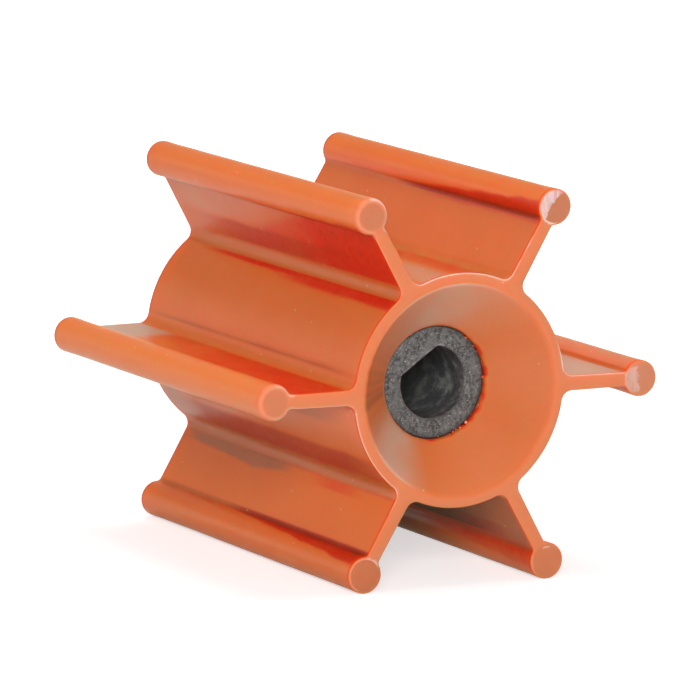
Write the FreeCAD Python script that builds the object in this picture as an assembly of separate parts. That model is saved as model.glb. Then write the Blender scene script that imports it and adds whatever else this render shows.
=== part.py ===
# Rubber pump impeller: a moulded rotor with six flexible vanes on a drive insert.
# The shaft axis lies along Y, +Z is up and the origin is on the axis at mid length.
# The part lies on the beads of its two lower vanes.
import FreeCAD, Part
import math
import os

Vector = FreeCAD.Vector

# Driving dimensions of the rubber body, in mm
body_length = 50.0
vane_count = 6
bead_circle_radius = 22.4
bead_radius = 2.0
hub_radius = 12.8
vane_root_thickness = 1.7
vane_tip_thickness = 1.5
root_fillet = 1.2
neck_fillet = 0.6

# Driving dimensions of the conical dish in each end of the hub
dish_rim_width = 1.4
dish_depth = 5.6
dish_rim_rounding = 0.35

# Driving dimensions of the drive insert and its bore for a shaft with one flat
insert_radius = 6.25
insert_recess = 0.4
bore_radius = 4.0
bore_flat_offset = 3.0
bore_flat_direction = 125.0
bore_corner_fillet = 0.6
bore_mouth_chamfer = 0.2

# Driving dimensions of the grooves that the rubber grips on the insert
key_groove_count = 6
key_groove_radius = 1.0
key_groove_depth = 0.7
key_collar_length = 4.0

# Sizes that follow from the driving dimensions
front_y = -body_length / 2
dish_rim_radius = hub_radius - dish_rim_width
insert_length = body_length - 2 * (dish_depth + insert_recess)
vane_pitch = 360.0 / vane_count
cut_margin = 1.0


def at_angle(angle, along, across, y):
    """Place a point of a vane's own plane, given along and across it."""
    turn = math.radians(angle)
    x = along * math.cos(turn) - across * math.sin(turn)
    z = along * math.sin(turn) + across * math.cos(turn)
    return Vector(x, y, z)


def between(centre, radius, first, second):
    """Middle point of the short arc about a centre from one point to another."""
    along = first[0] + second[0] - 2 * centre[0]
    across = first[1] + second[1] - 2 * centre[1]
    reach = math.hypot(along, across)
    return (centre[0] + radius * along / reach, centre[1] + radius * across / reach)


def blend(circle_at, circle_radius, radius, side):
    """Blend arc between a vane's flank and a circle centred on the vane's middle line.

    side is +1 for a circle at the root and -1 for one at the tip.
    Gives the arc's points on the circle, in its middle and on the flank.
    """
    flank_run = bead_circle_radius - hub_radius
    flank_fall = (vane_tip_thickness - vane_root_thickness) / 2
    slope = math.atan2(flank_fall, flank_run)
    run = (math.cos(slope), math.sin(slope))
    normal = (-math.sin(slope), math.cos(slope))
    start = (hub_radius + radius * normal[0] - circle_at,
             vane_root_thickness / 2 + radius * normal[1])
    half = start[0] * run[0] + start[1] * run[1]
    rest = start[0] ** 2 + start[1] ** 2 - (circle_radius + radius) ** 2
    step = -half + side * math.sqrt(half ** 2 - rest)
    centre = (circle_at + start[0] + step * run[0], start[1] + step * run[1])
    share = circle_radius / (circle_radius + radius)
    on_circle = (circle_at + (centre[0] - circle_at) * share, centre[1] * share)
    on_flank = (centre[0] - radius * normal[0], centre[1] - radius * normal[1])
    return on_circle, between(centre, radius, on_circle, on_flank), on_flank


def body_outline(y):
    """Closed wire round the hub and all the vanes, in the plane at y."""
    root = blend(0.0, hub_radius, root_fillet, 1)
    neck = blend(bead_circle_radius, bead_radius, neck_fillet, -1)
    bead_top = (bead_circle_radius + bead_radius, 0.0)
    edges = []
    for index in range(vane_count):
        angle = index * vane_pitch

        def arc(first, middle, last, mirror):
            """Arc on one face of this vane, mirror being +1 or -1."""
            points = [at_angle(angle, p[0], mirror * p[1], y) for p in (first, middle, last)]
            edges.append(Part.Arc(*points).toShape())

        def flank(first, last, mirror):
            """Straight flank on one face of this vane."""
            points = [at_angle(angle, p[0], mirror * p[1], y) for p in (first, last)]
            edges.append(Part.LineSegment(*points).toShape())

        arc(root[0], root[1], root[2], -1)
        flank(root[2], neck[2], -1)
        arc(neck[2], neck[1], neck[0], -1)
        bead = [
            at_angle(angle, neck[0][0], -neck[0][1], y),
            at_angle(angle, bead_top[0], bead_top[1], y),
            at_angle(angle, neck[0][0], neck[0][1], y),
        ]
        edges.append(Part.Arc(*bead).toShape())
        arc(neck[0], neck[1], neck[2], 1)
        flank(neck[2], root[2], 1)
        arc(root[2], root[1], root[0], 1)
        hub = [
            at_angle(angle, root[0][0], root[0][1], y),
            at_angle(angle + vane_pitch / 2, hub_radius, 0.0, y),
            at_angle(angle + vane_pitch, root[0][0], -root[0][1], y),
        ]
        edges.append(Part.Arc(*hub).toShape())
    return Part.Wire(edges)


def dish_cut(side):
    """Solid that hollows one end of the hub, side being -1 in front and +1 behind."""
    slope = (dish_rim_radius - insert_radius) / dish_depth
    end_y = side * body_length / 2
    outside_y = end_y + side * cut_margin
    floor_y = end_y - side * dish_depth
    seat_y = floor_y - side * insert_recess
    corners = [
        Vector(0, outside_y, 0),
        Vector(dish_rim_radius + slope * cut_margin, outside_y, 0),
        Vector(insert_radius, floor_y, 0),
        Vector(insert_radius, seat_y, 0),
        Vector(0, seat_y, 0),
    ]
    profile = Part.Face(Part.makePolygon(corners + corners[:1]))
    return profile.revolve(Vector(0, 0, 0), Vector(0, 1, 0), 360)


def insert_blank():
    """The insert without its bore: a round bar with grooves between two plain collars."""
    start = Vector(0, -insert_length / 2, 0)
    bar = Part.makeCylinder(insert_radius, insert_length, start, Vector(0, 1, 0))
    groove_length = insert_length - 2 * key_collar_length
    groove_centre = insert_radius + key_groove_radius - key_groove_depth
    for index in range(key_groove_count):
        angle = (index + 0.5) * 360.0 / key_groove_count
        base = at_angle(angle, groove_centre, 0.0, -groove_length / 2)
        groove = Part.makeCylinder(key_groove_radius, groove_length, base, Vector(0, 1, 0))
        bar = bar.cut(groove)
    return bar


def bore_cut():
    """Bar with the section of the shaft: round with one flat and two rounded corners."""
    start_y = -insert_length / 2 - cut_margin
    corner_reach = bore_radius - bore_corner_fillet
    corner_in = bore_flat_offset - bore_corner_fillet
    half_flat = math.sqrt(corner_reach ** 2 - corner_in ** 2)
    share = bore_radius / corner_reach

    def place(point):
        return at_angle(bore_flat_direction, point[0], point[1], start_y)

    edges = []
    flat_ends = []
    round_ends = []
    for hand in (1, -1):
        centre = (corner_in, hand * half_flat)
        on_flat = (bore_flat_offset, hand * half_flat)
        on_round = (corner_in * share, hand * half_flat * share)
        middle = between(centre, bore_corner_fillet, on_flat, on_round)
        edges.append(Part.Arc(place(on_flat), place(middle), place(on_round)).toShape())
        flat_ends.append(place(on_flat))
        round_ends.append(place(on_round))
    edges.append(Part.LineSegment(flat_ends[0], flat_ends[1]).toShape())
    far_side = place((-bore_radius, 0.0))
    edges.append(Part.Arc(round_ends[0], far_side, round_ends[1]).toShape())
    section = Part.Face(Part.Wire(Part.__sortEdges__(edges)))
    return section.extrude(Vector(0, insert_length + 2 * cut_margin, 0))


def round_edges_at(y, radius, shape):
    """The circular edges of a shape that lie in the plane at y and have one radius."""
    found = []
    for edge in shape.Edges:
        circle = edge.Curve
        if isinstance(circle, Part.Circle) and abs(circle.Radius - radius) < 1e-6:
            if abs(circle.Center.y - y) < 1e-6 and circle.Center.Length - abs(y) < 1e-6:
                found.append(edge)
    return found


def impeller_body():
    """The one piece of moulded rubber: hub, vanes, beads, dishes and insert seat."""
    body = Part.Face(body_outline(front_y)).extrude(Vector(0, body_length, 0))
    for side in (-1, 1):
        body = body.cut(dish_cut(side))
    body = body.cut(insert_blank())
    rim_edges = []
    for side in (-1, 1):
        rim_edges += round_edges_at(side * body_length / 2, dish_rim_radius, body)
    rounding = min(dish_rim_rounding, dish_rim_width / 3)
    return body.makeFillet(rounding, rim_edges)


def drive_insert():
    """The grooved bush that the rubber is moulded round, with its bore."""
    insert = insert_blank().cut(bore_cut())
    mouth_edges = []
    for edge in insert.Edges:
        box = edge.BoundBox
        at_end = abs(abs(box.YMin) - insert_length / 2) < 1e-6 and box.YLength < 1e-6
        inside = math.hypot(edge.valueAt(edge.FirstParameter).x,
                            edge.valueAt(edge.FirstParameter).z) < insert_radius - 1e-3
        if at_end and inside:
            mouth_edges.append(edge)
    chamfer = min(bore_mouth_chamfer, (insert_radius - bore_radius) / 3)
    return insert.makeChamfer(chamfer, mouth_edges)


os.makedirs("parts", exist_ok=True)
impeller_body().exportStep("parts/impeller_body.step")
drive_insert().exportStep("parts/drive_insert.step")
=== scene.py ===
import math
import random

import bpy
import numpy as np
from mathutils import Matrix, Vector, noise
from mathutils.geometry import delaunay_2d_cdt


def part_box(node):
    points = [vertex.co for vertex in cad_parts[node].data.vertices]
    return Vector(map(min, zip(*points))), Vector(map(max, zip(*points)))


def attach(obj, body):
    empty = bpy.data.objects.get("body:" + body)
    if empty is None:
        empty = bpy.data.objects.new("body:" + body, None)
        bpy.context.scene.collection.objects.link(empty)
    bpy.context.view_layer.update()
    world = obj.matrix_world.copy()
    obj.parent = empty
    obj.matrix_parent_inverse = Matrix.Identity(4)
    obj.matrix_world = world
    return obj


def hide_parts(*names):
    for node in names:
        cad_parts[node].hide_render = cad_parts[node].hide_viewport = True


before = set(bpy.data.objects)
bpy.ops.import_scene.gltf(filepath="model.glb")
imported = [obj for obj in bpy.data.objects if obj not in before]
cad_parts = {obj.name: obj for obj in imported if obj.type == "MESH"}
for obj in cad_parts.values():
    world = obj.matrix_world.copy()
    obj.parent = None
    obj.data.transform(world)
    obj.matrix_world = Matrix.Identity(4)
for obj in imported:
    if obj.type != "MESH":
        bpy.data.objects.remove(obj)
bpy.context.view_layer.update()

MM = 0.001

# Sizes read from the frame, in metres
body_low, body_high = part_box("impeller_body")
insert_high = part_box("drive_insert")[1]
HALF_LENGTH = body_high.y
FLOOR_Z = body_low.z
INSERT_RADIUS = insert_high.x
INSERT_END = insert_high.y

# Section of the rubber body, in metres
VANE_COUNT = 6
VANE_PITCH = math.tau / VANE_COUNT
BEAD_RADIUS = 2.0 * MM
BEAD_CIRCLE_RADIUS = 22.4 * MM
HUB_RADIUS = 12.8 * MM
VANE_ROOT_THICKNESS = 1.7 * MM
VANE_TIP_THICKNESS = 1.5 * MM
ROOT_FILLET = 1.2 * MM
NECK_FILLET = 0.6 * MM

# Dish and insert
DISH_RIM_RADIUS = 11.4 * MM
DISH_DEPTH = 5.6 * MM
RIM_ROUNDING = 0.35 * MM
RIM_EDGE = DISH_RIM_RADIUS + RIM_ROUNDING
BORE_RADIUS = 4.0 * MM
BORE_FLAT_OFFSET = 3.0 * MM
BORE_FLAT_DIRECTION = math.radians(125.0)
BORE_CORNER_FILLET = 0.6 * MM

# Fine detail of the moulded ends
EDGE_ROUNDING = 0.14 * MM
END_RECESS = 0.06 * MM
FACET_MARGIN = 0.007 * MM


def smooth_step(value, low, high):
    """Smooth ramp from 0 at low to 1 at high, for numbers and arrays."""
    share = np.clip((value - low) / (high - low), 0.0, 1.0)
    return share * share * (3 - 2 * share)


def fade(value, low, high):
    """Smooth fall from 1 at low to 0 at high."""
    return 1 - smooth_step(value, low, high)


def in_space(flat, y):
    """Points of the section, given across and up, at the distance y along the shaft."""
    return np.stack([flat[:, 0], np.broadcast_to(y, len(flat)), flat[:, 1]], 1)


def unit_circle(angles):
    """Points at these angles on a circle of radius 1, across and up."""
    return np.stack([np.cos(angles), np.sin(angles)], 1)


def field(points, size, seed):
    """Smooth noise from -1 to 1 at each point, with features of about one size."""
    shift = Vector((seed * 3.7, seed * 1.3, seed * 7.9))
    return np.array([noise.noise(Vector(p) / size + shift) for p in points])


def noise_at(*place):
    """Smooth noise from -1 to 1 at places whose three coordinates are numbers or arrays."""
    spots = np.column_stack(np.broadcast_arrays(*place))
    return np.array([noise.noise(Vector(spot)) for spot in spots])


def add_object(name, data):
    """New object in the scene."""
    made = bpy.data.objects.new(name, data)
    bpy.context.scene.collection.objects.link(made)
    return made


# Steps between the outline's points
FLANK_STEP = 0.26 * MM
FILLET_STEP = 0.14 * MM
BEAD_STEP = 0.22 * MM
HUB_STEP = 0.32 * MM

# Stretches of the outline round one vane and the hub after it, anticlockwise
ROOT_BEFORE, FLANK_BEFORE, NECK_BEFORE, BEAD, NECK_AFTER, FLANK_AFTER, ROOT_AFTER, HUB = range(8)


def rotation(angle):
    """Matrix that turns row vectors in the section's plane."""
    return np.array([[math.cos(angle), math.sin(angle)], [-math.sin(angle), math.cos(angle)]])


# Painted light and shade on the walls: the red and brown patches are painted shade, the hazy and
# pale patches are painted reflections. Each has its vane, its stretch, where it lies across the
# stretch, its strength, how far back it starts and ends, and how soft its ends are. Across a
# flank the place is counted from the root.
# Red painted shade
RED_SHADE_PATCHES = (
    (1, FLANK_AFTER, 0.95, 1.2, 0.5, -0.3, 0.5, 0.16),
    (4, FLANK_BEFORE, 0.96, 1.2, 0.5, -0.3, 0.5, 0.14),
    (1, HUB, 0.03, 0.6, 0.38, -0.4, 0.46, 0.28),
    (2, HUB, -0.1, 0.05, 0.85, -0.2, 0.84, 0.12),
    (2, HUB, 0.03, 0.14, 0.7, -0.2, 0.48, 0.14),
    (2, HUB, 0.95, 1.1, 0.25, 0.08, 0.95, 0.12),
    (2, FLANK_AFTER, -0.2, 0.42, 0.5, -0.2, 0.84, 0.2),
    (2, FLANK_AFTER, -0.2, 1.2, 0.84, -0.3, 0.34, 0.06),
    (3, HUB, 0.58, 0.98, 0.46, 0.0, 0.92, 0.2),
    (2, FLANK_AFTER, -0.1, 0.02, 0.8, -0.2, 0.88, 0.1),
    (4, FLANK_BEFORE, -0.1, 0.02, 0.4, -0.2, 0.7, 0.1),
    (4, FLANK_BEFORE, 0.02, 0.18, 0.42, 0.16, 0.35, 0.07),
    (3, FLANK_BEFORE, -0.1, 0.03, 0.4, 0.1, 0.9, 0.12),
    (5, FLANK_BEFORE, 0.70, 1.1, 0.5, 0.12, 0.5, 0.12),
)
# Brown painted shade
BROWN_SHADE_PATCHES = (
    (1, FLANK_AFTER, -0.2, 1.2, 0.10, -0.3, 1.3, 0.1),
    (2, FLANK_AFTER, -0.1, 0.44, 0.24, 0.3, 0.88, 0.2),
    (1, ROOT_AFTER, -0.1, 1.1, 0.14, -0.3, 1.3, 0.1),
    (2, ROOT_AFTER, -0.1, 1.1, 0.14, -0.3, 1.3, 0.1),
    (2, HUB, 0.95, 1.1, 0.32, 0.08, 0.95, 0.12),
    (3, HUB, 0.6, 1.1, 0.36, 0.0, 0.95, 0.2),
    (3, HUB, -0.1, 0.2, 0.26, 0.14, 0.46, 0.12),
    (3, ROOT_AFTER, -0.1, 1.1, 0.1, -0.3, 1.3, 0.1),
    (4, ROOT_BEFORE, -0.1, 1.1, 0.22, 0.0, 1.3, 0.2),
    (4, HUB, -0.1, 1.1, 0.8, -0.3, 1.3, 0.1),
    (5, BEAD, -0.1, 1.1, 0.75, 0.5, 1.4, 0.25),
)
# Hazy painted reflection of the bright surround
REFLECTION_HAZE_PATCHES = (
    (0, FLANK_AFTER, 0.1, 1.3, 0.75, -0.4, 1.4, 0.3),
    (0, BEAD, -0.1, 1.1, 0.30, -0.3, 1.3, 0.1),
    (1, HUB, 0.68, 1.2, 0.38, -0.4, 1.4, 0.3),
    (1, FLANK_AFTER, -0.2, 1.2, 0.08, -0.3, 1.3, 0.1),
    (2, FLANK_AFTER, 0.5, 1.2, 0.32, 0.62, 1.3, 0.3),
    (2, NECK_AFTER, -0.2, 1.2, 0.9, 0.58, 1.3, 0.08),
    (3, FLANK_BEFORE, -0.1, 1.2, 0.95, 0.84, 1.3, 0.05),
    (3, HUB, 0.3, 0.9, 0.45, 0.88, 1.3, 0.08),
)

# Pale painted reflection of the bright surround
PALE_REFLECTION_PATCHES = (
    (0, FLANK_AFTER, -0.2, 1.2, 0.22, -0.3, 1.3, 0.1),
    (2, NECK_AFTER, -0.2, 1.2, 0.3, 0.6, 1.3, 0.08),
    (3, FLANK_BEFORE, -0.1, 1.2, 0.45, 0.85, 1.3, 0.05),
    (3, HUB, 0.3, 0.9, 0.25, 0.88, 1.3, 0.08),
)

# Red painted shade in wedges: vane, stretch, strength and how far back each reaches at its start and
# end
RED_SHADE_WEDGES = (
    (2, FLANK_AFTER, 0.66, 0.90, 0.40),
    (3, FLANK_BEFORE, 0.6, 0.92, 0.60),
)

# Red painted shade on the beads beside the neck: its width as a share of the bead's outline, and
# how strong it is on each side of each vane
BEAD_WEDGE = 0.185
BEAD_RED_SHADE = {
    (0, NECK_AFTER): 0.25,
    (1, NECK_AFTER): 1.0,
    (2, NECK_AFTER): 0.9,
    (4, NECK_BEFORE): 1.0,
    (5, NECK_BEFORE): 0.45,
}
OTHER_BEAD_RED_SHADE = 0.35
# Painted brightness of each bead, strongest on the beads that face the light
BEAD_BRIGHTNESS = (0.30, 0.35, 0.50, 0.90, 0.20, 0.0)

# The vane whose flank carries one long painted shadow with painted haze, and the vane whose
# flank is all brown painted shade
SHADOWED_WEB_VANE = 4
WEB_SHADOW_BROWN = 0.46
WEB_SHADOW_HAZE = 0.22
SHADED_WEB_VANE = 5

# Red painted along the end's edge, and the most red painted shade that noise may reach
EDGE_RED = 0.55
MOST_RED = 0.84


def vane_blend(circle_at, circle_radius, radius, side):
    """Angles and centre of the fillet between a vane's flank and a circle on its middle line."""
    flank_fall = (VANE_TIP_THICKNESS - VANE_ROOT_THICKNESS) / 2
    slope = math.atan2(flank_fall, BEAD_CIRCLE_RADIUS - HUB_RADIUS)
    run = np.array([math.cos(slope), math.sin(slope)])
    normal = np.array([-math.sin(slope), math.cos(slope)])
    start = np.array([HUB_RADIUS - circle_at, VANE_ROOT_THICKNESS / 2]) + radius * normal
    half = start @ run
    rest = start @ start - (circle_radius + radius) ** 2
    centre = start + (-half + side * math.sqrt(half ** 2 - rest)) * run
    on_circle = centre * circle_radius / (circle_radius + radius)
    on_flank = centre - radius * normal
    offset = np.array([circle_at, 0.0])
    return centre + offset, on_circle + offset, on_flank + offset


def arc_points(centre, first, last, step, long_way=False):
    """Points of an arc from first up to, but without, last, and the outward directions there."""
    a = math.atan2(*(first - centre)[::-1])
    b = math.atan2(*(last - centre)[::-1])
    turn = (b - a + math.pi) % math.tau - math.pi
    if long_way:
        turn -= math.copysign(math.tau, turn)
    radius = np.linalg.norm(first - centre)
    count = max(3, round(abs(turn) * radius / step))
    angles = a + turn * np.arange(count) / count
    away = unit_circle(angles)
    return centre + radius * away, away


def section_outline():
    """Points of the body's section, anticlockwise, with their outward directions and marks.

    The marks are the number of the vane, the stretch and how far along the stretch, from 0 to 1.
    """
    root_centre, root_circle, root_flank = vane_blend(0.0, HUB_RADIUS, ROOT_FILLET, 1)
    neck_centre, neck_circle, neck_flank = vane_blend(
        BEAD_CIRCLE_RADIUS, BEAD_RADIUS, NECK_FILLET, -1)
    flip = np.array([1.0, -1.0])
    next_root = root_circle * flip @ rotation(VANE_PITCH)
    points, away, marks = [], [], []

    def add(part, directions, stretch):
        points.append(part)
        away.append(directions)
        share = np.arange(len(part)) / len(part)
        marks.append(np.stack([np.full(len(part), stretch), share], 1))

    def flank(first, last, stretch):
        length = np.linalg.norm(last - first)
        count = round(length / FLANK_STEP)
        share = np.arange(count)[:, None] / count
        run = (last - first) / length
        add(first + (last - first) * share, np.tile([run[1], -run[0]], (count, 1)), stretch)

    def fillet(centre, first, last, stretch):
        arc, out = arc_points(centre, first, last, FILLET_STEP)
        add(arc, -out, stretch)

    fillet(root_centre * flip, root_circle * flip, root_flank * flip, ROOT_BEFORE)
    flank(root_flank * flip, neck_flank * flip, FLANK_BEFORE)
    fillet(neck_centre * flip, neck_flank * flip, neck_circle * flip, NECK_BEFORE)
    add(*arc_points(bead_centre(0), neck_circle * flip, neck_circle, BEAD_STEP, True), BEAD)
    fillet(neck_centre, neck_circle, neck_flank, NECK_AFTER)
    flank(neck_flank, root_flank, FLANK_AFTER)
    fillet(root_centre, root_flank, root_circle, ROOT_AFTER)
    add(*arc_points(np.zeros(2), root_circle, next_root, HUB_STEP), HUB)
    one, one_away, one_marks = (np.concatenate(part) for part in (points, away, marks))
    turns = [rotation(index * VANE_PITCH) for index in range(VANE_COUNT)]
    all_points, all_away = (
        np.concatenate([part @ turn for turn in turns]) for part in (one, one_away))
    vane = np.repeat(np.arange(VANE_COUNT), len(one))
    return all_points, all_away, np.column_stack([vane, np.tile(one_marks, (VANE_COUNT, 1))])


def between(value, low, high, soft):
    """1 inside a range and 0 outside it, with soft ends."""
    rise = smooth_step(value, low - soft, low + soft)
    return rise * fade(value, high - soft, high + soft)


def patch_strength(patches, marks, back):
    """Strongest of the patches at each point of one row of the wall."""
    vane, stretch, share = marks.T
    place = np.where(stretch == FLANK_AFTER, 1 - share, share)
    found = np.zeros(len(marks))
    for marked, part, first, last, strength, front, rear, soft in patches:
        drift = 0.022 * noise_at(back * 13.0, marked * 5.3, part * 3.1)
        here = between(place + drift, first, last, soft / 4) * between(back, front, rear, soft)
        found = np.maximum(found, ((vane == marked) & (stretch == part)) * here * strength)
    return found


def bead_red_shade(marks, back):
    """Red painted shade on the beads beside the neck and in the neck, wider toward the front end."""
    vane, stretch, share = marks.T
    neck = np.isin(stretch, (NECK_BEFORE, NECK_AFTER))
    from_neck = np.minimum(share, 1 - share)
    side = np.where(neck, stretch, np.where(share < 0.5, NECK_BEFORE, NECK_AFTER))
    level = np.array([BEAD_RED_SHADE.get((int(v), int(n)), OTHER_BEAD_RED_SHADE) for v, n in zip(vane, side)])
    uneven = 1 + 0.25 * noise_at(back * 17.0, 2.0, 0.0)
    wedge = BEAD_WEDGE * uneven * max(0.0, 1 - back / 0.66)
    red = 0.78 * (stretch == BEAD) * fade(from_neck, wedge - 0.035, wedge + 0.012)
    red += 0.26 * (stretch == BEAD) * fade(from_neck, 0.0, 0.45 * wedge + 0.01)
    red = np.maximum(red, neck * 0.8) * fade(back, 0.5, 0.72) * level
    return np.maximum(red, neck * 0.1)


def wall_tones(marks, back):
    """How much painted red shade, painted brown shade, hazy painted reflection and painted
    brightness one row of the wall has, each from 0 to 1.

    The red painted shade lies in the corners, where vanes shut in the light, and widens toward the
    front end.
    """
    vane, stretch, share = marks.T
    before = stretch == FLANK_BEFORE
    height = np.where(before, share, 1 - share)
    red = np.maximum(bead_red_shade(marks, back), patch_strength(RED_SHADE_PATCHES, marks, back))
    for marked, part, strength, at_root, at_neck in RED_SHADE_WEDGES:
        edge = at_root + (at_neck - at_root) * height
        here = fade(back - edge, -0.12, 0.04) * (1 - 0.45 * smooth_step(back, 0.15, 0.7))
        red = np.maximum(red, ((vane == marked) & (stretch == part)) * here * strength)
    # Brown painted shade over one whole web, darker toward the rear end
    shaded = 0.38 + 0.62 * smooth_step(back, 0.08, 0.42)
    # Painted shadow with painted haze on the rear half of one web, cast by the vane above it
    reach = 0.13 + 0.36 * (0.95 - back) * smooth_step(back, 0.48, 0.66)
    reach += 0.03 * noise_at(back * 21.0, 0.0, 5.0)
    on_web = (vane == SHADOWED_WEB_VANE) & before
    shade_and_light_patch = on_web * between(height, -0.2, reach, 0.035) * between(back, 0.5, 0.96, 0.05)
    brown = np.maximum.reduce([
        patch_strength(BROWN_SHADE_PATCHES, marks, back),
        ((vane == SHADED_WEB_VANE) & before) * shaded,
        shade_and_light_patch * WEB_SHADOW_BROWN,
        np.isin(stretch, (NECK_BEFORE, NECK_AFTER)) * (0.10 + 0.5 * red),
        (stretch == BEAD) * 0.16 * red,
    ])
    haze = np.maximum(patch_strength(REFLECTION_HAZE_PATCHES, marks, back), shade_and_light_patch * WEB_SHADOW_HAZE)
    # Painted brightness on the beads that face the light, near the soft front ends, and on one web
    painted_brightness = np.array([BEAD_BRIGHTNESS[int(v)] for v in vane])
    near_end = np.isin(vane, SOFT_ENDED_VANES) * fade(back, 0.015, 0.12)
    painted_brightness = (stretch == BEAD) * np.maximum(painted_brightness, 0.7 * near_end)
    painted_brightness = np.maximum(painted_brightness, 0.4 * on_web) * (1 - red)
    return red, brown, haze, painted_brightness


def inside_loop(points, loop):
    """True for each point that lies inside a closed loop, by counting crossings."""
    after = np.roll(loop, -1, 0)
    result = np.zeros(len(points), bool)
    for a, b in zip(loop, after):
        crosses = (a[1] > points[:, 1]) != (b[1] > points[:, 1])
        if crosses.any():
            x = a[0] + (points[:, 1] - a[1]) * (b[0] - a[0]) / (b[1] - a[1] + 1e-30)
            result ^= crosses & (points[:, 0] < x)
    return result


# Marks on the front ends of the beads, by vane number from +X towards +Z.
# A rim line has its vane, its radius as a share of the bead's, the directions between which it
# shows, its strength and its width.
RIM_LINES = (
    (0, 0.90, 150, 215, 0.35, 0.03),
    (1, 0.91, 192, 285, 0.9, 0.035),
    (4, 0.90, 20, 250, 0.45, 0.028),
    (5, 0.765, 72, 116, 0.55, 0.032),
    (5, 0.90, 150, 215, 0.3, 0.03),
)

# A torn patch has its vane, the direction of its middle, the place of its inner edge, how much
# that edge bulges, how ragged it is, the patch's outer edge and half width, and how white it is.
TORN_PATCHES = (
    (0, math.radians(186.0), 0.10, 0.02, 0.14, 0.86, 0.72, 0.5),
    (1, math.radians(145.0), -0.03, 0.27, 0.10, 2.0, 2.0, 1.0),
)

# Heights and depths of the front end's marks, and how uneven every end face is
END_UNEVENNESS = 0.010 * MM
RIDGE_HEIGHT = 0.03 * MM
GROOVE_DEPTH = 0.02 * MM
TEAR_DEPTH = 0.03 * MM
FIBRE_HEIGHT = 0.02 * MM

# How brown and how hazy the flat end of each bead is
DISC_TONES = ((0.20, 0.20), (0.28, 0.12), (0.20, 0.08), (0.16, 0.06), (0.25, 0.0), (0.18, 0.03))


def bead_centre(vane):
    """Centre of one vane's bead in the section."""
    return BEAD_CIRCLE_RADIUS * unit_circle(np.array([vane * VANE_PITCH]))[0]


def polar(points, vane):
    """Distance from a bead's centre, as a share of its radius, and direction there."""
    across, up = (points - bead_centre(vane)).T
    return np.hypot(across, up) / BEAD_RADIUS, np.arctan2(up, across)


def within_turn(psi, first, last, soft):
    """1 between two directions in degrees, with soft ends, and 0 elsewhere."""
    turn = (np.degrees(psi) - first) % 360
    return smooth_step(turn, 0, soft) * fade(turn, last - first - soft, last - first)


def end_relief(points, front):
    """Depth of an end face below its plane, and its tones, at each point."""
    spots = in_space(points, 0.0 if front else 1.0)
    depth = END_RECESS + END_UNEVENNESS * field(spots, 1.6 * MM, 3)
    tones = {label: np.zeros(len(points)) for label in ("pale", "torn", "dull", "film")}
    if not front:
        return depth, tones

    def mark(label, strength):
        tones[label] = np.maximum(tones[label], strength)

    for vane, (brown, haze) in enumerate(DISC_TONES):
        rho = polar(points, vane)[0]
        edge = 0.67 if vane in SOFT_ENDED_VANES else 0.84
        on_disc = fade(rho, edge, edge + 0.1)
        mark("dull", on_disc * brown)
        mark("film", on_disc * haze)
    for vane, radius, first, last, strength, width in RIM_LINES:
        rho, psi = polar(points, vane)
        shown = within_turn(psi, first, last, 12)
        ridge = np.exp(-((rho - radius) / width) ** 2) * shown
        groove = np.exp(-((rho - radius - 2 * width) / width) ** 2) * shown
        depth += groove * GROOVE_DEPTH - ridge * RIDGE_HEIGHT
        mark("pale", ridge * strength)
    for vane, toward, edge, bulge, jag, outer, half, whiteness in TORN_PATCHES:
        rho, psi = polar(points, vane)
        along = rho * np.cos(psi - toward)
        across = rho * np.sin(psi - toward)
        ragged = noise_at(across * 3.0, vane * 9.0, 0.0)
        ragged += 0.8 * noise_at(across * 9.0, vane * 4.0, 2.0)
        inner = edge + bulge * (1 - across ** 2) + jag * ragged
        region = smooth_step(along, inner - 0.02, inner + 0.03)
        region *= fade(along, outer - 0.06, outer + 0.04)
        region *= fade(np.abs(across), half - 0.1, half + 0.06)
        region *= fade(rho, 0.93, 0.96)
        fibres = noise_at(across * 13.0, along * 2.0, vane * 3.0)
        depth += region * (TEAR_DEPTH + FIBRE_HEIGHT * fibres)
        mark("torn", region * whiteness)
    return depth, tones


# Flash on each row of the rounded edge, from wall to face
EDGE_STEPS = 5
FLASH_ROWS = (0.0, 0.2, 0.8, 1.0, 0.6, 0.0)
FLASH_PALENESS = (0.0, 0.4, 0.9, 1.0, 0.8, 0.1)
SOFT_ENDED_VANES = (2, 3)
SOFT_ROUNDING = 0.5 * MM


def soft_ended(points, front, reach=1.35):
    """1 on the two beads whose front ends are softly rounded, 0 elsewhere on the outline."""
    found = np.zeros(len(points))
    for vane in SOFT_ENDED_VANES if front else ():
        found = np.maximum(found, fade(polar(points, vane)[0], 1.02, reach))
    return found


# Pale painted highlight at the outer edge of a front bead end: vane, first and last direction,
# strength
EDGE_LINES = ((2, -64, 104, 0.6), (3, -100, 98, 0.4))
RING_BROWN = 0.13
# Painted highlight on each row of the rounded edge: the ring on the soft-ended beads, and the edge
# lines
RING_ROWS = (0.03, 0.06, 0.10, 0.13, 0.15, 0.08)
EDGE_ROWS = (0.2, 0.6, 1.0, 0.8, 0.15, 0.0)


def bead_paleness(points, front, step):
    """How pale each outline point is on one row of the rounded edge of the beads, as a painted
    highlight.
    """
    pale = soft_ended(points, front, 1.25) * RING_ROWS[step]
    for vane, first, last, strength in EDGE_LINES if front else ():
        rho, psi = polar(points, vane)
        shown = within_turn(psi, first, last, 15) * fade(rho, 1.15, 1.5)
        pale = np.maximum(pale, shown * strength * EDGE_ROWS[step])
    return pale


# Flash at the front rim: where it starts, is full, weakens and ends, in degrees, and strength
FLASH_ARCS = ((62, 66, 112, 118, 0.9), (4, 7, 14, 24, 0.8), (184, 190, 232, 240, 0.45))

# Flash on one flank of each vane at the front end, and of all vanes at the rear end
FRONT_FLASH = (0.5, 0.4, 0.1, 0.3, 0.1, 0.1)
REAR_FLASH = 0.2
BROKEN_FLASH_VANE = 1


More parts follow.
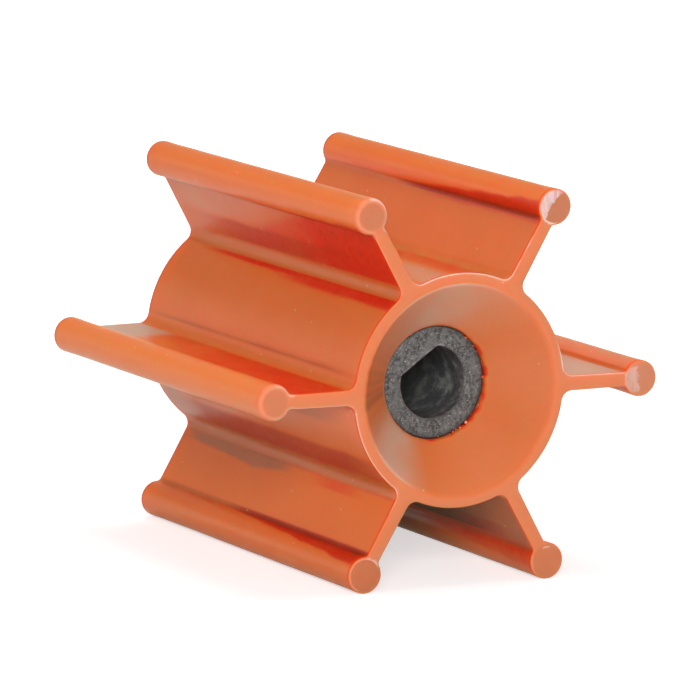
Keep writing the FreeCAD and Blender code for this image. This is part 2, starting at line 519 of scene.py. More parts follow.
def burr_strength(points, front):
    """How much a thin pale flash stands along the end's edge, from 0 to 1, round the outline."""
    theta = np.degrees(np.arctan2(*points.T[::-1])) % 360
    radius = np.hypot(*points.T)
    near_hub = fade(radius, HUB_RADIUS + 1.0 * MM, HUB_RADIUS + 3.0 * MM)
    if front:
        arcs = [level * smooth_step(theta, start, full) * fade(theta, weaker, end)
                for start, full, weaker, end, level in FLASH_ARCS]
        strength = near_hub * np.maximum.reduce(arcs)
    else:
        strength = near_hub * 0.4 * (0.5 + 0.5 * np.sin(np.radians(theta) * 3 + 1.0))
    for index in range(VANE_COUNT):
        along, across = (points @ rotation(-index * VANE_PITCH)).T
        on_flank = (across > 0) & (across < 1.2 * MM) & (along > HUB_RADIUS)
        on_flank &= along < BEAD_CIRCLE_RADIUS - BEAD_RADIUS
        level = FRONT_FLASH[index] if front else REAR_FLASH
        if index == BROKEN_FLASH_VANE:
            level = level * fade(along, 17.5 * MM, 19 * MM) * (
                0.65 + 0.35 * np.sign(np.sin(along / (0.45 * MM))))
        strength = np.where(on_flank, np.maximum(strength, level), strength)
    return strength


class MeshParts:
    """Collects vertices, faces and per-vertex values, then makes one mesh object."""

    def __init__(self):
        self.vertices = []
        self.faces = []
        labels = ("pale", "torn", "matt", "film", "deep", "dull", "painted_brightness")
        self.values = {label: [] for label in labels}

    def add(self, points, **values):
        """Adds points with a value each, or one for all, and gives the number of the first."""
        first = len(self.vertices)
        self.vertices.extend(map(tuple, points))
        for label, kept in self.values.items():
            kept.extend(np.broadcast_to(values.get(label, 0.0), len(points)))
        return first

    def join(self, rings, count, outward=True):
        """Quads between neighbouring closed rings of points that start at these numbers."""
        for first, second in zip(rings, rings[1:]):
            for i in range(count):
                j = (i + 1) % count
                quad = (first + i, first + j, second + j, second + i)
                self.faces.append(quad if outward else quad[::-1])

    def build(self, name):
        mesh = bpy.data.meshes.new(name)
        mesh.from_pydata(self.vertices, [], self.faces)
        for label, kept in self.values.items():
            attribute = mesh.attributes.new(label, "FLOAT", "POINT")
            attribute.data.foreach_set("value", np.array(kept, np.float32))
        mesh.polygons.foreach_set("use_smooth", [True] * len(mesh.polygons))
        mesh.update()
        return add_object(name, mesh)


BODY_ROWS = 50
WALL_INSET = 0.03 * MM
END_INSET = 0.004 * MM

# Unevenness of the walls: height, size and noise seed of each wave
WALL_WAVES = ((0.018 * MM, 6.0 * MM, 5), (0.008 * MM, 2.0 * MM, 12))


def body_rows():
    """Distances from the middle of the length at which the side wall has a row of points."""
    inner = HALF_LENGTH - 1.4 * MM
    ends = np.array([0.95, 0.65]) * MM
    middle = np.linspace(-inner, inner, BODY_ROWS)
    return np.concatenate([ends[::-1] - HALF_LENGTH, middle, HALF_LENGTH - ends])


def wall_undulation(points, y):
    """Slight unevenness of the moulded walls, in metres."""
    spots = in_space(points, y * 0.5)
    return sum(height * field(spots, size, seed) for height, size, seed in WALL_WAVES)


def build_body():
    """The rubber body with rounded edges, flash, bead discs, dishes and insert seat."""
    parts = MeshParts()
    points, away, marks = section_outline()
    count = len(points)
    rings = []

    def wall_ring(inset, y, pale=0.0, matt=0.0, edge=0.0):
        flat = points - away * (np.asarray(inset).reshape(-1, 1) + FACET_MARGIN)
        y = np.broadcast_to(y, count)
        place = in_space(flat, y)
        uneven = 1 + 0.2 * field(place * [1, 0.4, 1], 3.0 * MM, 6)
        uneven += 0.25 * field(place, 1.2 * MM, 2)
        inward = smooth_step(HALF_LENGTH - np.abs(y), 0.1 * MM, 0.9 * MM)
        back = y[0] / (2 * HALF_LENGTH) + 0.5
        red, brown, haze, painted_brightness = wall_tones(marks, back)
        # Red painted shade, fading out toward the ends, and red painted along the edge rows
        red = np.clip(red * uneven, 0, MOST_RED) * inward
        red = np.maximum(red, EDGE_RED * edge)
        ring = RING_BROWN * soft_ended(points, y[0] < 0)
        # Brown painted shade, fading out toward the ends
        brown = np.maximum(brown * inward, ring * (1 - inward))
        # Pale painted reflections on the walls
        pale = np.maximum(pale, patch_strength(PALE_REFLECTION_PATCHES, marks, back) * inward)
        # Hazy painted reflections on the walls
        haze = haze * inward * (0.96 + 0.5 * (uneven - 1))
        rings.append(parts.add(
            place, pale=pale, matt=matt, deep=red, dull=brown, film=haze, painted_brightness=painted_brightness * inward))

    def end_rings(side):
        """Rows of the rounded edge, from the wall to the end face, with the flash on it."""
        burr = burr_strength(points, side < 0)
        ragged = field(in_space(points, 0.0), 0.9 * MM, 0)
        burr = np.clip(burr * (1 + 0.5 * ragged), 0, 1)
        soft = soft_ended(points, side < 0)
        rounding = EDGE_ROUNDING + (SOFT_ROUNDING - EDGE_ROUNDING) * soft
        rows = []
        for step in range(EDGE_STEPS + 1):
            a = math.pi / 2 * step / EDGE_STEPS
            flash = burr * FLASH_ROWS[step]
            inset = rounding * (1 - math.cos(a)) * (1 - flash)
            y = HALF_LENGTH - END_RECESS - rounding * (1 - math.sin(a))
            y = y + (HALF_LENGTH - 0.01 * MM - y) * flash
            pale = np.maximum(burr * FLASH_PALENESS[step], bead_paleness(points, side < 0, step))
            matt = step / EDGE_STEPS * (1 - 0.5 * soft)
            rows.append((inset, side * y, pale, matt, max(0.0, 1 - step / 2) * (1 - soft)))
        return rows

    front = end_rings(-1)
    rear = end_rings(1)
    for row in reversed(front):
        wall_ring(*row)
    for y in body_rows():
        inward = fade(abs(y), HALF_LENGTH - 3 * MM, HALF_LENGTH - 0.7 * MM)
        wall_ring((wall_undulation(points, y) + WALL_INSET) * inward + END_INSET, y)
    for row in rear:
        wall_ring(*row)
    parts.join(rings, count, False)

    dish_rings = {}
    for side, edge_ring, edge in ((-1, rings[0], front[-1]), (1, rings[-1], rear[-1])):
        loop = points - away * (np.asarray(edge[0]).reshape(-1, 1) + FACET_MARGIN)
        dish_rings[side] = add_cap(parts, loop, edge_ring, side)
    add_dishes(parts, dish_rings)
    return parts.build("rubber_body")


DISH_STEPS = 260


def dish_circle(radius):
    """Points round the shaft axis, as across and up."""
    angles = np.arange(DISH_STEPS) * math.tau / DISH_STEPS
    return radius * unit_circle(angles)


# Spacing of points on the front and rear faces, and on their beads as a share of the radius
FACE_SPACING = {-1: 0.26 * MM, 1: 0.45 * MM}
DISC_SPACING = {-1: 0.045, 1: 0.09}
EDGE_CLEARANCE = 0.08 * MM
RIM_CLEARANCE = 0.15 * MM


def add_cap(parts, loop, edge_ring, side):
    """Fills an end face between the outline and the dish rim. Gives the rim ring's number."""
    rim = dish_circle(RIM_EDGE)
    spacing = FACE_SPACING[side]
    disc_step = DISC_SPACING[side]
    reach = BEAD_CIRCLE_RADIUS + BEAD_RADIUS
    steps = np.arange(-reach, reach, spacing)
    inner = np.array([
        (x, z) for row, z in enumerate(steps) for x in steps + (row % 2) * spacing / 2])
    keep = np.hypot(*inner.T) > RIM_EDGE + RIM_CLEARANCE
    for vane in range(VANE_COUNT):
        keep &= polar(inner, vane)[0] > 0.97
    inner = inner[keep]
    discs = []
    for vane in range(VANE_COUNT):
        for share in np.arange(disc_step, 0.93, disc_step):
            number = max(6, round(math.tau * share / (1.1 * disc_step)))
            turn = np.arange(number) * math.tau / number + share * 9
            discs.append(bead_centre(vane) + share * BEAD_RADIUS * unit_circle(turn))
    inner = np.concatenate([inner] + discs)
    inner = inner[inside_loop(inner, loop)]
    gap = np.linalg.norm(inner[:, None] - loop, axis=2).min(1)
    inner = inner[gap > EDGE_CLEARANCE]

    flat = np.concatenate([loop, rim, inner])
    count = len(loop)
    edges = [(i, (i + 1) % count) for i in range(count)]
    edges += [(count + i, count + (i + 1) % DISH_STEPS) for i in range(DISH_STEPS)]
    made = delaunay_2d_cdt([Vector(p) * (1 / MM) for p in flat], edges, [], 0, 1e-7)
    origin = [ids[0] for ids in made[3]]
    triangles = np.array([[origin[v] for v in face] for face in made[2]])
    middle = flat[triangles].mean(1)
    keep = inside_loop(middle, loop)
    keep &= np.hypot(*middle.T) > RIM_EDGE * 0.9998
    triangles = triangles[keep]

    free = flat[count:]
    depth, tones = end_relief(free, side < 0)
    depth[:DISH_STEPS] = END_RECESS
    y = side * (HALF_LENGTH - depth)
    matt = np.ones(len(free))
    matt[:DISH_STEPS] = 0.6
    first = parts.add(in_space(free, y), matt=matt, **tones)
    number = np.concatenate([np.arange(count) + edge_ring, np.arange(len(free)) + first])
    for a, b, c in triangles:
        pa, pb, pc = flat[[a, b, c]]
        area = (pb[0] - pa[0]) * (pc[1] - pa[1]) - (pb[1] - pa[1]) * (pc[0] - pa[0])
        order = (a, b, c) if (area > 0) == (side < 0) else (a, c, b)
        parts.faces.append(tuple(int(number[v]) for v in order))
    return first


RIM_REACH = 1.6 * RIM_ROUNDING
CONE_ROWS = 21


def dish_profile():
    """Radius and distance from the middle of the length, from the rim to the middle of the seat."""
    fall = math.atan2(DISH_DEPTH, DISH_RIM_RADIUS - INSERT_RADIUS)
    end = HALF_LENGTH - END_RECESS
    profile = []
    for share in (0.3, 0.6, 0.85, 1.0):
        a = fall * share
        radius = RIM_EDGE - RIM_REACH * math.sin(a)
        profile.append((radius, end - RIM_REACH * (1 - math.cos(a))))
    start = profile[-1]
    lip = (INSERT_RADIUS + 0.07 * MM, HALF_LENGTH - DISH_DEPTH + 0.02 * MM)
    for share in np.linspace(0, 1, CONE_ROWS + 1)[1:]:
        profile.append(tuple(a + (b - a) * share for a, b in zip(start, lip)))
    profile.append((INSERT_RADIUS + 0.01 * MM, HALF_LENGTH - DISH_DEPTH - 0.08 * MM))
    profile.append((INSERT_RADIUS, INSERT_END + 0.1 * MM))
    profile.append((INSERT_RADIUS, INSERT_END))
    profile.append((INSERT_RADIUS, INSERT_END * 0.5))
    return profile


# Hazy painted reflection in the front dish: direction in degrees, half width and strength of each
# patch
DISH_REFLECTION_PATCHES = ((100, 75, 0.6), (224, 34, 0.86), (0, 180, 0.05))


def turn_from(theta, direction):
    """Angle between two directions, all in degrees."""
    return np.abs((theta - direction + 180) % 360 - 180)


def dish_reflection(spots):
    """Strength of the hazy painted reflection at points of the front dish."""
    theta = np.degrees(np.arctan2(spots[:, 2], spots[:, 0]))
    film = np.zeros(len(spots))
    for direction, half_width, strength in DISH_REFLECTION_PATCHES:
        film = np.maximum(film, strength * fade(turn_from(theta, direction), 0, half_width))
    return np.clip(film * (1 + 0.30 * field(spots, 3.2 * MM, 9)), 0, 1)


DISH_MATT = 0.42
# Red painted shade in the crevice at the lip round the insert, strongest toward this direction
LIP_RED = 0.75
LIP_RED_DIRECTION = math.radians(-30)
# Brown painted shade over the dish, stronger in streaks toward this direction
DISH_SHADE = 0.10
STREAK_DIRECTION = 178
DISH_RIPPLE = 0.012 * MM


def dish_shade(spots):
    """How much brown painted shade the front dish has: a little all over, and in radial streaks at
    its left.
    """
    theta = np.arctan2(spots[:, 2], spots[:, 0])
    streak = noise_at(theta * 9.0, 3.0, 0.0)
    left = fade(turn_from(np.degrees(theta), STREAK_DIRECTION), 8, 40)
    left *= smooth_step(streak, -0.25, 0.35)
    right = fade(np.abs(np.degrees(theta)), 20, 90)
    return DISH_SHADE + 0.3 * left + 0.08 * right


def add_dishes(parts, rim_rings):
    """The two conical dishes and the seat between them, as one surface of rings."""
    rings = [rim_rings[-1]]
    for radius, y in dish_profile():
        flat = dish_circle(radius)
        spots = in_space(flat, -y)
        on_cone = smooth_step(radius, INSERT_RADIUS + 0.3 * MM, INSERT_RADIUS + 1.5 * MM)
        # Where the painted shade and painted reflections of the dish reach, clear of the seat
        clear_of_seat = smooth_step(radius, INSERT_RADIUS + 0.05 * MM, INSERT_RADIUS + 0.45 * MM)
        ripple = DISH_RIPPLE * field(spots, 4.0 * MM, 8) * on_cone
        # Red painted shade at the lip round the insert
        lip = LIP_RED * fade(radius, INSERT_RADIUS + 0.07 * MM, INSERT_RADIUS + 0.22 * MM)
        toward = np.cos(np.arctan2(*flat.T[::-1]) - LIP_RED_DIRECTION)
        lip = lip * smooth_step(toward, 0.1, 0.5)
        lip = lip * np.clip(0.7 + 1.2 * field(spots, 0.9 * MM, 3), 0, 1)
        rings.append(parts.add(
            in_space(flat, -y + ripple), film=dish_reflection(spots) * clear_of_seat,
            dull=dish_shade(spots) * clear_of_seat, matt=DISH_MATT * (1 - lip), deep=lip))
    for radius, y in reversed(dish_profile()):
        rings.append(parts.add(in_space(dish_circle(radius), y)))
    rings.append(rim_rings[1])
    parts.join(rings, DISH_STEPS)


INSERT_STEPS = 360
BORE_ROWS = 70
BORE_END_INSET = 0.16 * MM
FACE_GRAIN = 0.035 * MM
BORE_GRAIN = 0.05 * MM
MOUTH_DROP = 0.10 * MM
EDGE_DROP = 0.28 * MM
# Direction toward which the insert's faces get painted shade at their edge
SHADED_EDGE_DIRECTION = math.radians(-35)
# Direction of the painted light inside the bore
LIT_BORE_DIRECTION = math.radians(-15)


def bore_radius_at(angles):
    """Radius of the bore in each direction: round, one flat and two rounded corners."""
    turn = (angles - BORE_FLAT_DIRECTION + math.pi) % math.tau - math.pi
    reach = BORE_RADIUS - BORE_CORNER_FILLET
    corner_in = BORE_FLAT_OFFSET - BORE_CORNER_FILLET
    half_flat = math.sqrt(reach ** 2 - corner_in ** 2)
    flat_end = math.atan2(half_flat, BORE_FLAT_OFFSET)
    round_end = math.atan2(half_flat, corner_in)
    side = np.abs(turn)
    flat = BORE_FLAT_OFFSET / np.cos(np.minimum(side, 1.3))
    gap = np.cos(side - round_end)
    rest = reach ** 2 * (gap ** 2 - 1) + BORE_CORNER_FILLET ** 2
    corner = reach * gap + np.sqrt(np.maximum(rest, 0))
    return np.where(side < flat_end, flat, np.where(side < round_end, corner, BORE_RADIUS))


def build_insert():
    """The dark insert: granular end faces with painted shade toward their edge, uneven bore edge,
    rough bore with painted light near its mouth, and plain outside.
    """
    parts = MeshParts()
    angles = np.arange(INSERT_STEPS) * math.tau / INSERT_STEPS
    around = unit_circle(angles)
    bore = bore_radius_at(angles)

    def roughness(radius, y, grain, seed):
        """How far the grain stands out of the surface at each point of one ring."""
        spots = in_space(around * radius[:, None], y)
        coarse = field(spots, 0.45 * MM, seed)
        fine = field(spots, 0.16 * MM, seed + 1)
        return grain * (0.6 * coarse + 0.4 * fine)

    def face_rings(side):
        """Rings of one end face, from the bore outward, with their tones."""
        edge = INSERT_RADIUS - 0.02 * MM
        shares = np.concatenate([[0.0, 0.015, 0.04], np.linspace(0.08, 0.96, 20), [0.985, 1.0]])
        for share in shares:
            low = bore + 0.12 * MM
            radius = low + (edge - low) * share
            rough = roughness(radius, side * INSERT_END, FACE_GRAIN, 11)
            drop = MOUTH_DROP * fade(share, 0.0, 0.06)
            drop += EDGE_DROP * smooth_step(share, 0.86, 1.0) ** 2
            y = side * (INSERT_END - 0.04 * MM - drop + rough)
            # Painted shade: the face darkens toward its edge on the lower right
            dark = 0.5 + 0.5 * np.cos(angles - SHADED_EDGE_DIRECTION)
            near_flat = np.cos(angles - BORE_FLAT_DIRECTION) > 0.62
            yield in_space(around * radius[:, None], y), {
                "dull": dark * smooth_step(share, 0.55, 1.0),
                "pale": near_flat * fade(share, 0.02, 0.10),
            }

    def bore_rings():
        """Rings of the rough bore, from front to rear, with their tones."""
        reach = INSERT_END - BORE_END_INSET
        for y in np.linspace(-reach, reach, BORE_ROWS):
            radius = bore + roughness(bore, y, BORE_GRAIN, 15)
            depth = y + INSERT_END
            # Painted light: the bore is lighter on one side, fading with depth from its mouth
            lit = (0.5 + 0.5 * np.cos(angles - LIT_BORE_DIRECTION)) ** 2
            lit = lit * fade(depth, 5 * MM, 14 * MM)
            yield in_space(around * radius[:, None], y), {"matt": 1.0, "film": lit}

    rows = [*face_rings(-1)][::-1] + [*bore_rings(), *face_rings(1)]
    rings = [parts.add(points, **values) for points, values in rows]
    edge = INSERT_RADIUS - 0.01 * MM
    for share in (0.95, 0.0, -0.95):
        rings.append(parts.add(in_space(around * edge, share * INSERT_END)))
    rings.append(rings[0])
    parts.join(rings, INSERT_STEPS)
    return parts.build("insert_bush")


# Direction in degrees and size in millimetres of each scrap on the insert's edge
CRUMBS = (
    (55, 0.07), (51, 0.13), (48, 0.06), (38, 0.10), (31, 0.07), (18, 0.08), (2, 0.11), (-3, 0.06),
    (-27, 0.06), (-39, 0.08), (-49, 0.15), (-54, 0.07), (-57, 0.17), (-62, 0.09), (-66, 0.12),
    (-72, 0.06), (-77, 0.10), (-84, 0.07),
)


def build_crumbs():
    """Scraps of rubber caught along the right and lower edge of the insert."""
    draw = random.Random(4)
    parts = MeshParts()
    y = -INSERT_END - 0.05 * MM
    for angle, size in CRUMBS:
        a = math.radians(angle)
        radius = INSERT_RADIUS - draw.uniform(0.0, 0.25) * MM
        centre = Vector((radius * math.cos(a), y, radius * math.sin(a)))
        stretch = Vector((draw.uniform(0.7, 1.6), draw.uniform(0.6, 1.0), draw.uniform(0.7, 1.5)))
        turn = Matrix.Rotation(draw.uniform(0, math.tau), 3, "Y")
        add_crumb(parts, centre, size * MM, stretch, turn, draw.random() * 30)
    return parts.build("rubber_crumbs")


def add_crumb(parts, centre, size, stretch, turn, seed):
    """One lumpy scrap, made from a sphere of rings."""
    bands, steps = 5, 9
    first = parts.add([centre + turn @ Vector((0, -size * stretch.y, 0))])
    rings = []
    for band in range(1, bands):
        fall = math.pi * band / bands
        ring = []
        for i in range(steps):
            a = math.tau * i / steps
            direction = Vector((math.sin(fall) * math.cos(a), -math.cos(fall),
                                math.sin(fall) * math.sin(a)))
            lump = 1 + 0.45 * noise.noise(direction * 1.6 + Vector((seed, 0, 0)))
            local = Vector(x * s * size * lump for x, s in zip(direction, stretch))
            ring.append(centre + turn @ local)
        rings.append(parts.add(ring))
    last = parts.add([centre + turn @ Vector((0, size * stretch.y, 0))])
    for i in range(steps):
        j = (i + 1) % steps
        parts.faces.append((first, rings[0] + i, rings[0] + j))
        parts.faces.append((last, rings[-1] + j, rings[-1] + i))
    parts.join(rings, steps, False)


class Shader:
    """Small helper that lays out the nodes of a material or of the world."""

    def __init__(self, owner, kind="Material"):
        owner.use_nodes = True
        self.owner = owner
        self.nodes = owner.node_tree.nodes
        self.links = owner.node_tree.links
        self.nodes.clear()
        self.output = self.node("ShaderNodeOutput" + kind)

    def node(self, kind, **settings):
        made = self.nodes.new(kind)
        for key, value in settings.items():
            if key in made.inputs:
                made.inputs[key].default_value = value
            else:
                setattr(made, key, value)
        return made

    def link(self, source, target):
        """Feeds an input from another node, or sets it to a plain value."""
        if isinstance(source, (int, float, tuple)):
            target.default_value = source
        else:
            self.links.new(source, target)

    def fed(self, kind, *sources, **settings):
        """New node whose first inputs are fed in order. Gives its first output."""
        made = self.node(kind, **settings)
        for source, target in zip(sources, made.inputs):
            self.link(source, target)
        return made.outputs[0]

    def math(self, operation, a, b):
        return self.fed("ShaderNodeMath", a, b, operation=operation)

    def times(self, a, b):
        return self.math("MULTIPLY", a, b)

    def mix(self, share, a, b):
        made = self.node("ShaderNodeMix", data_type="RGBA")
        for number, value in ((0, share), (6, a), (7, b)):
            self.link(value, made.inputs[number])
        return made.outputs[2]

    def ramp(self, source, low, high, low_value=0.0, high_value=1.0):
        """Smooth change from one value to another while the source goes from low to high."""
        return self.fed("ShaderNodeMapRange", source, low, high, low_value, high_value,
                        interpolation_type="SMOOTHSTEP")

    def noise(self, place, scale, detail=2.0, roughness=0.5):
        return self.fed("ShaderNodeTexNoise", place, Scale=scale, Detail=detail, Roughness=roughness)

    def place(self):
        """Place on the object, in metres."""
        return self.node("ShaderNodeTexCoord").outputs["Object"]

    def painted(self, label):
        """Value that the mesh carries at each vertex."""
        return self.node("ShaderNodeAttribute", attribute_name=label).outputs["Fac"]

    def surface(self, base, rough, bump=None, **values):
        """Puts the main shader on the output. A bump has its height, strength and distance."""
        shader = self.node("ShaderNodeBsdfPrincipled", **values)
        self.link(base, shader.inputs["Base Color"])
        self.link(rough, shader.inputs["Roughness"])
        if bump:
            height, strength, distance = bump
            raised = self.node("ShaderNodeBump", Strength=strength, Distance=distance)
            self.link(height, raised.inputs["Height"])
            self.link(raised.outputs["Normal"], shader.inputs["Normal"])
        self.link(shader.outputs[0], self.output.inputs["Surface"])


def rgba(red, green, blue):
    """Linear colour from screen values out of 255."""
    def linear(value):
        value /= 255
        return value / 12.92 if value <= 0.04045 else ((value + 0.055) / 1.055) ** 2.4
    return (linear(red), linear(green), linear(blue), 1.0)


RUBBER_COLOUR = rgba(234, 122, 46)
SHADED_COLOUR = rgba(232, 119, 43)
# Colours of the red painted shade
SHADE_RED_COLOUR = rgba(226, 36, 0)
DARK_SHADE_RED_COLOUR = rgba(140, 30, 4)
# Colour of the brown painted shade
SHADE_BROWN_COLOUR = rgba(86, 52, 34)
END_COLOUR = rgba(223, 133, 86)
# Colour of the painted brightness
PAINTED_BRIGHT_COLOUR = rgba(255, 138, 68)
# Colour of the flash and of the pale painted reflections and highlights
FLASH_AND_SHEEN_COLOUR = rgba(255, 236, 228)
# Colour of the hazy painted reflections
REFLECTION_HAZE_COLOUR = rgba(206, 176, 154)
TORN_COLOUR = rgba(232, 208, 206)
TORN_DEEP_COLOUR = rgba(212, 170, 168)
SCATTER_COLOUR = (1.0, 0.12, 0.05)
SCATTER_DISTANCE = 2.4 * MM
GLOSSIEST = 0.285
GLOSS_CHANGE = 0.045
MATT_AND_PAINTED_ROUGHNESS = 0.14
SPECK_COLOUR = rgba(244, 200, 150)
WHITE = (1.0, 1.0, 1.0, 1.0)


def rubber_material():
    """Glossy orange rubber that light enters, with matt ends, specks, flash and torn places, and
    with painted red and brown shade, painted reflections and painted brightness.
    """
    s = Shader(bpy.data.materials.new("orange_rubber"))
    place = s.place()
    broad = s.noise(place, 160.0, 3.0)
    fine = s.noise(place, 2200.0, 3.0)
    # Red painted shade, broken up by noise and darkest where it is strongest
    deep = s.painted("deep")
    tone = s.mix(s.ramp(broad, 0.35, 0.65), RUBBER_COLOUR, SHADED_COLOUR)
    mottle = s.ramp(s.noise(place, 1300.0, 5.0, 0.75), 0.44, 0.62, 0.0, 0.08)
    grainy = s.ramp(s.noise(place, 1900.0, 4.0, 0.7), 0.4, 0.6, 0.86, 1.0)
    base = s.mix(s.times(s.ramp(deep, 0.0, 0.7), grainy), tone, SHADE_RED_COLOUR)
    darker = s.ramp(s.math("ADD", deep, s.times(mottle, deep)), 0.80, 1.15)
    base = s.mix(darker, base, DARK_SHADE_RED_COLOUR)
    # Painted brightness
    base = s.mix(s.painted("painted_brightness"), base, PAINTED_BRIGHT_COLOUR)
    matt = s.painted("matt")
    base = s.mix(matt, base, END_COLOUR)
    # Brown painted shade, broken up by noise
    shade_breakup = s.ramp(s.noise(place, 1100.0, 5.0, 0.75), 0.42, 0.62, 0.88, 1.0)
    base = s.mix(s.times(s.painted("dull"), shade_breakup), base, SHADE_BROWN_COLOUR)

    cells = s.node("ShaderNodeTexVoronoi", Scale=560.0)
    s.link(place, cells.inputs["Vector"])
    near = s.ramp(cells.outputs["Distance"], 0.05, 0.09, 1.0, 0.0)
    pick = s.node("ShaderNodeSeparateColor")
    s.link(cells.outputs["Color"], pick.inputs[0])
    chosen = s.math("GREATER_THAN", pick.outputs[0], 0.62)
    speck = s.times(near, chosen)
    base = s.mix(s.times(speck, 0.7), base, SPECK_COLOUR)

    torn = s.painted("torn")
    # Pale flash, pale painted reflections and painted highlights
    base = s.mix(s.painted("pale"), base, FLASH_AND_SHEEN_COLOUR)
    turned = (0.0, math.radians(45.0), 0.0)
    stretched = s.fed("ShaderNodeMapping", place, Rotation=turned, Scale=(1.0, 1.0, 0.25))
    streaks = s.noise(stretched, 2200.0, 2.0)
    base = s.mix(torn, base, s.mix(s.ramp(streaks, 0.35, 0.65), TORN_DEEP_COLOUR, TORN_COLOUR))

    # Hazy painted reflection of the bright surround
    film = s.painted("film")
    base = s.mix(film, base, REFLECTION_HAZE_COLOUR)
    rough = s.ramp(broad, 0.3, 0.7, GLOSSIEST, GLOSSIEST + GLOSS_CHANGE)
    # Rougher on the matt ends, under the hazy painted reflections and under the red painted shade
    rough = s.math("ADD", rough, s.times(s.math("MAXIMUM", matt, film), MATT_AND_PAINTED_ROUGHNESS))
    rough = s.math("ADD", rough, s.times(deep, MATT_AND_PAINTED_ROUGHNESS))
    s.surface(base, rough, (fine, 0.12, 0.05 * MM), **{
        "IOR": 1.5,
        "Subsurface Weight": 1.0,
        "Subsurface Radius": SCATTER_COLOUR,
        "Subsurface Scale": SCATTER_DISTANCE,
    })
    return s.owner


def insert_material():
    """Dull dark grey granular insert with light specks, painted shade toward the edge of its faces
    and painted light in the bore.
    """
    s = Shader(bpy.data.materials.new("granular_insert"))
    place = s.place()
    grain = s.noise(place, 2600.0, 4.0, 0.7)
    blotch = s.noise(place, 700.0, 3.0, 0.6)
    base = s.mix(s.ramp(grain, 0.36, 0.66), rgba(54, 54, 54), rgba(110, 112, 111))
    base = s.mix(s.ramp(blotch, 0.4, 0.7, 0.0, 0.5), base, rgba(118, 120, 119))
    bright = s.ramp(s.noise(place, 4600.0, 2.0), 0.62, 0.74)
    base = s.mix(s.times(bright, 0.8), base, rgba(186, 184, 178))
    crumbly = s.times(s.painted("pale"), s.ramp(s.noise(place, 1900.0, 3.0), 0.42, 0.58))
    base = s.mix(s.times(crumbly, 0.85), base, rgba(160, 160, 156))
    # Painted shade toward the edge of the faces
    base = s.mix(s.times(s.painted("dull"), 0.85), base, rgba(46, 48, 50))
    # Painted light inside the bore
    shade_and_light_patch = s.times(s.painted("film"), s.ramp(s.noise(place, 560.0, 5.0, 0.7), 0.42, 0.74))
    inside = s.mix(shade_and_light_patch, rgba(72, 72, 73), rgba(146, 146, 143))
    base = s.mix(s.painted("matt"), base, inside)
    s.surface(base, s.ramp(blotch, 0.3, 0.7, 0.5, 0.7), (grain, 0.5, 0.08 * MM))
    return s.owner


def crumb_material():
    """Pale and orange scraps of rubber."""
    s = Shader(bpy.data.materials.new("crumb_rubber"))
    kind = s.noise(s.place(), 900.0, 1.0)
    base = s.mix(s.ramp(kind, 0.5, 0.62), rgba(226, 84, 44), rgba(236, 176, 146))
    s.surface(base, 0.5)
    return s.owner


# The floor glows white to the camera, less near the part, and warm in the part's gloss
FLOOR_GLOW = 0.6
FLOOR_NEAR = 0.06
FLOOR_FAR = 0.35
FLOOR_GLOSS = 0.22
FLOOR_GLOSS_COLOUR = (1.0, 0.85, 0.5, 1.0)
FLOOR_HALF = 2.0


def floor_material():
    """Pale plain floor, a little brighter to the camera so that it meets the white surround."""
    s = Shader(bpy.data.materials.new("pale_floor"))
    place = s.place()
    tone = s.ramp(s.noise(place, 3.0), 0.3, 0.7, 0.70, 0.72)
    path = s.node("ShaderNodeLightPath")
    camera, gloss = path.outputs["Is Camera Ray"], path.outputs["Is Glossy Ray"]
    reach = s.node("ShaderNodeVectorMath", operation="LENGTH")
    s.link(place, reach.inputs[0])
    level = s.ramp(reach.outputs["Value"], FLOOR_NEAR, FLOOR_FAR, FLOOR_GLOW, 1.0)
    strength = s.math("ADD", s.times(camera, level), s.times(gloss, FLOOR_GLOSS))
    glow = s.fed("ShaderNodeEmission", s.mix(camera, FLOOR_GLOSS_COLOUR, WHITE), strength)
    both = s.fed("ShaderNodeAddShader", s.fed("ShaderNodeBsdfDiffuse", tone), glow)
    s.link(both, s.output.inputs["Surface"])
    return s.owner


def finish_piece(piece, material, slot, *nodes):
    """Gives a new piece its material and body, and hides the CAD nodes that it stands for. The slot
    is not used.
    """
    piece.data.materials.append(material)
    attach(piece, "root")
    if nodes:
        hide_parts(*nodes)


finish_piece(build_body(), rubber_material(), "rubber", "impeller_body")
finish_piece(build_insert(), insert_material(), "insert", "drive_insert")
finish_piece(build_crumbs(), crumb_material(), "rubber")

# Floor
floor_mesh = bpy.data.meshes.new("floor")
sides = ((-1, -1), (1, -1), (1, 1), (-1, 1))
corners = [(x * FLOOR_HALF, y * FLOOR_HALF, FLOOR_Z) for x, y in sides]
floor_mesh.from_pydata(corners, [], [(0, 1, 2, 3)])
floor = add_object("floor", floor_mesh)
floor.data.materials.append(floor_material())

# The surround's brightness as light, and as seen in the gloss at the horizon and high up
WORLD_LIGHT = 0.245
GLOSS_HORIZON = 1.0
GLOSS_SKY = 0.3
GLOSS_FRONT = 0.75
GLOSS_COLOUR = (1.0, 0.94, 0.76, 1.0)
GLOSS_TOP = 0.7


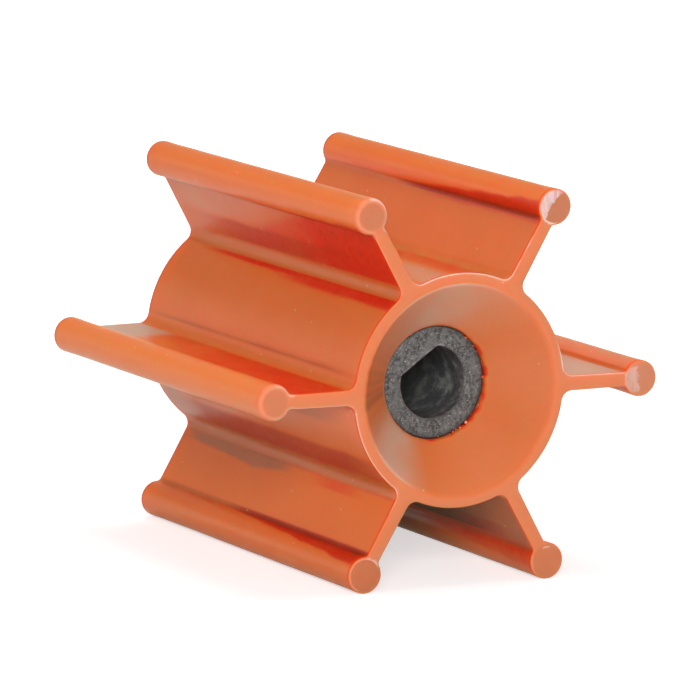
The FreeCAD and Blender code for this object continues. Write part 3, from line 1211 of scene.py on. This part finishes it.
def make_world():
    """White surround: plain white to the camera, dimmer as light and high up in the gloss."""
    world = bpy.data.worlds.new("studio")
    bpy.context.scene.world = world
    s = Shader(world, "World")
    path = s.node("ShaderNodeLightPath")
    direction = s.node("ShaderNodeSeparateXYZ")
    s.link(s.node("ShaderNodeTexCoord").outputs["Generated"], direction.inputs[0])
    up, back = direction.outputs["Z"], direction.outputs["Y"]

    def background(strength, colour=WHITE):
        return s.fed("ShaderNodeBackground", colour, strength)

    def choose(ray, otherwise, seen):
        """One shader for this kind of ray and another for the rest."""
        return s.fed("ShaderNodeMixShader", path.outputs[ray], otherwise, seen)

    fall = s.ramp(up, 0.06, 0.36, GLOSS_HORIZON, GLOSS_SKY)
    depth = s.ramp(back, -0.4, 0.4, GLOSS_FRONT, 1.0)
    overhead = s.ramp(up, 0.55, 0.8, 0.0, GLOSS_TOP)
    gloss = background(s.math("ADD", s.times(fall, depth), overhead), GLOSS_COLOUR)
    surround = choose("Is Glossy Ray", background(WORLD_LIGHT), gloss)
    surround = choose("Is Camera Ray", surround, background(1.0))
    s.link(surround, s.output.inputs["Surface"])


def add_lamp(name, place, size, power):
    """Square soft lamp aimed at the middle of the part."""
    light = bpy.data.lights.new(name, "AREA")
    light.shape = "SQUARE"
    light.size = size
    light.energy = power
    lamp = add_object(name, light)
    lamp.visible_glossy = False
    lamp.location = place
    lamp.rotation_mode = "QUATERNION"
    lamp.rotation_quaternion = (-Vector(place)).to_track_quat("-Z", "Y")


make_world()
add_lamp("front_softbox", (-0.34, -0.70, 0.26), 0.30, 5.1)
add_lamp("top_softbox", (0.06, 0.08, 0.80), 0.40, 2.6)
add_lamp("back_softbox", (0.44, 0.66, 0.10), 0.40, 2.3)

# Camera at the photograph's viewing angle
CAMERA_AZIMUTH = math.radians(-28.259)
CAMERA_ELEVATION = math.radians(9.147)
CAMERA_ROLL = math.radians(1.13)
CAMERA_DISTANCE = 0.784
CAMERA_SLIDE = (-0.000114, 0.000655)
CAMERA_LENS = 365.0
SENSOR_WIDTH = 36.0


def add_camera():
    """Camera on a sphere round the origin, rolled slightly and slid in its own plane."""
    data = bpy.data.cameras.new("camera")
    data.sensor_width = SENSOR_WIDTH
    data.lens = CAMERA_LENS
    data.clip_start = 0.01
    data.clip_end = 20.0
    camera = add_object("camera", data)
    level = math.cos(CAMERA_ELEVATION)
    back = Vector((
        math.sin(CAMERA_AZIMUTH) * level,
        -math.cos(CAMERA_AZIMUTH) * level,
        math.sin(CAMERA_ELEVATION),
    ))
    right = Vector((0, 0, 1)).cross(back).normalized()
    up = back.cross(right)
    side = right * math.cos(CAMERA_ROLL) + up * math.sin(CAMERA_ROLL)
    top = up * math.cos(CAMERA_ROLL) - right * math.sin(CAMERA_ROLL)
    place = back * CAMERA_DISTANCE + side * CAMERA_SLIDE[0] + top * CAMERA_SLIDE[1]
    turn = Matrix((side, top, back)).transposed().to_4x4()
    camera.matrix_world = Matrix.Translation(place) @ turn
    bpy.context.scene.camera = camera


add_camera()
bpy.context.scene.view_settings.view_transform = "Standard"
